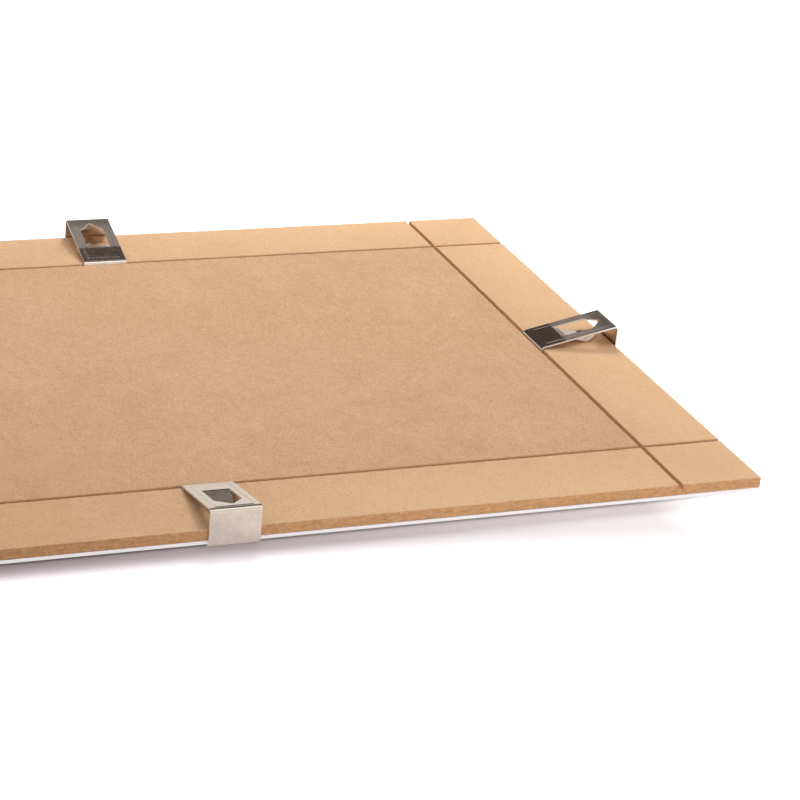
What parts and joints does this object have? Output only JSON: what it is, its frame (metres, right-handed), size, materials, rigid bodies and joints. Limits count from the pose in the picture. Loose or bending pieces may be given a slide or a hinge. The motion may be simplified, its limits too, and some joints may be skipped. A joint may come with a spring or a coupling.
{
  "type": "clip frame",
  "caption": "Frameless clip frame: clear sheet, paper insert and kerfed hardboard back held together by pointed-window spring clips along its edges.",
  "frame": {"origin": "middle of the frame, on the surface that the lips of the clips lie on, with the frame face down", "axes": "+X along the long side, +Y along the short side, +Z out of the back of the frame, which points up"},
  "size_m": [0.2988, 0.2118, 0.0107],
  "materials": {
    "hardboard": "tan fibreboard, matt, with darker sawn edges and kerfs",
    "paper": "plain white paper",
    "glazing": "clear polished plastic sheet",
    "spring_steel": "nickel-plated spring steel, cold rolled, slightly dulled"
  },
  "bodies": {
    "stack": {"backing_board": "hardboard", "insert_sheet": "paper", "glazing_sheet": "glazing"},
    "near_clip": {"near_clip": "spring_steel"},
    "far_clip": {"far_clip": "spring_steel"},
    "right_clip": {"right_clip": "spring_steel"},
    "left_clip": {"left_clip": "spring_steel"}
  },
  "joints": [
    {"name": "near_clip_swing", "type": "hinge", "parent": "stack", "child": "near_clip", "pos_m": [-0.0055, -0.1024, 0.0005], "axis": [1, 0, 0], "range_deg": [0, 60]},
    {"name": "far_clip_swing", "type": "hinge", "parent": "stack", "child": "far_clip", "pos_m": [0.0092, 0.1024, 0.0005], "axis": [-1, 0, 0], "range_deg": [0, 60]},
    {"name": "right_clip_swing", "type": "hinge", "parent": "stack", "child": "right_clip", "pos_m": [0.1459, -0.0027, 0.0005], "axis": [0, 1, 0], "range_deg": [0, 60]},
    {"name": "left_clip_swing", "type": "hinge", "parent": "stack", "child": "left_clip", "pos_m": [-0.1459, 0, 0.0005], "axis": [0, -1, 0], "range_deg": [0, 60]}
  ]
}
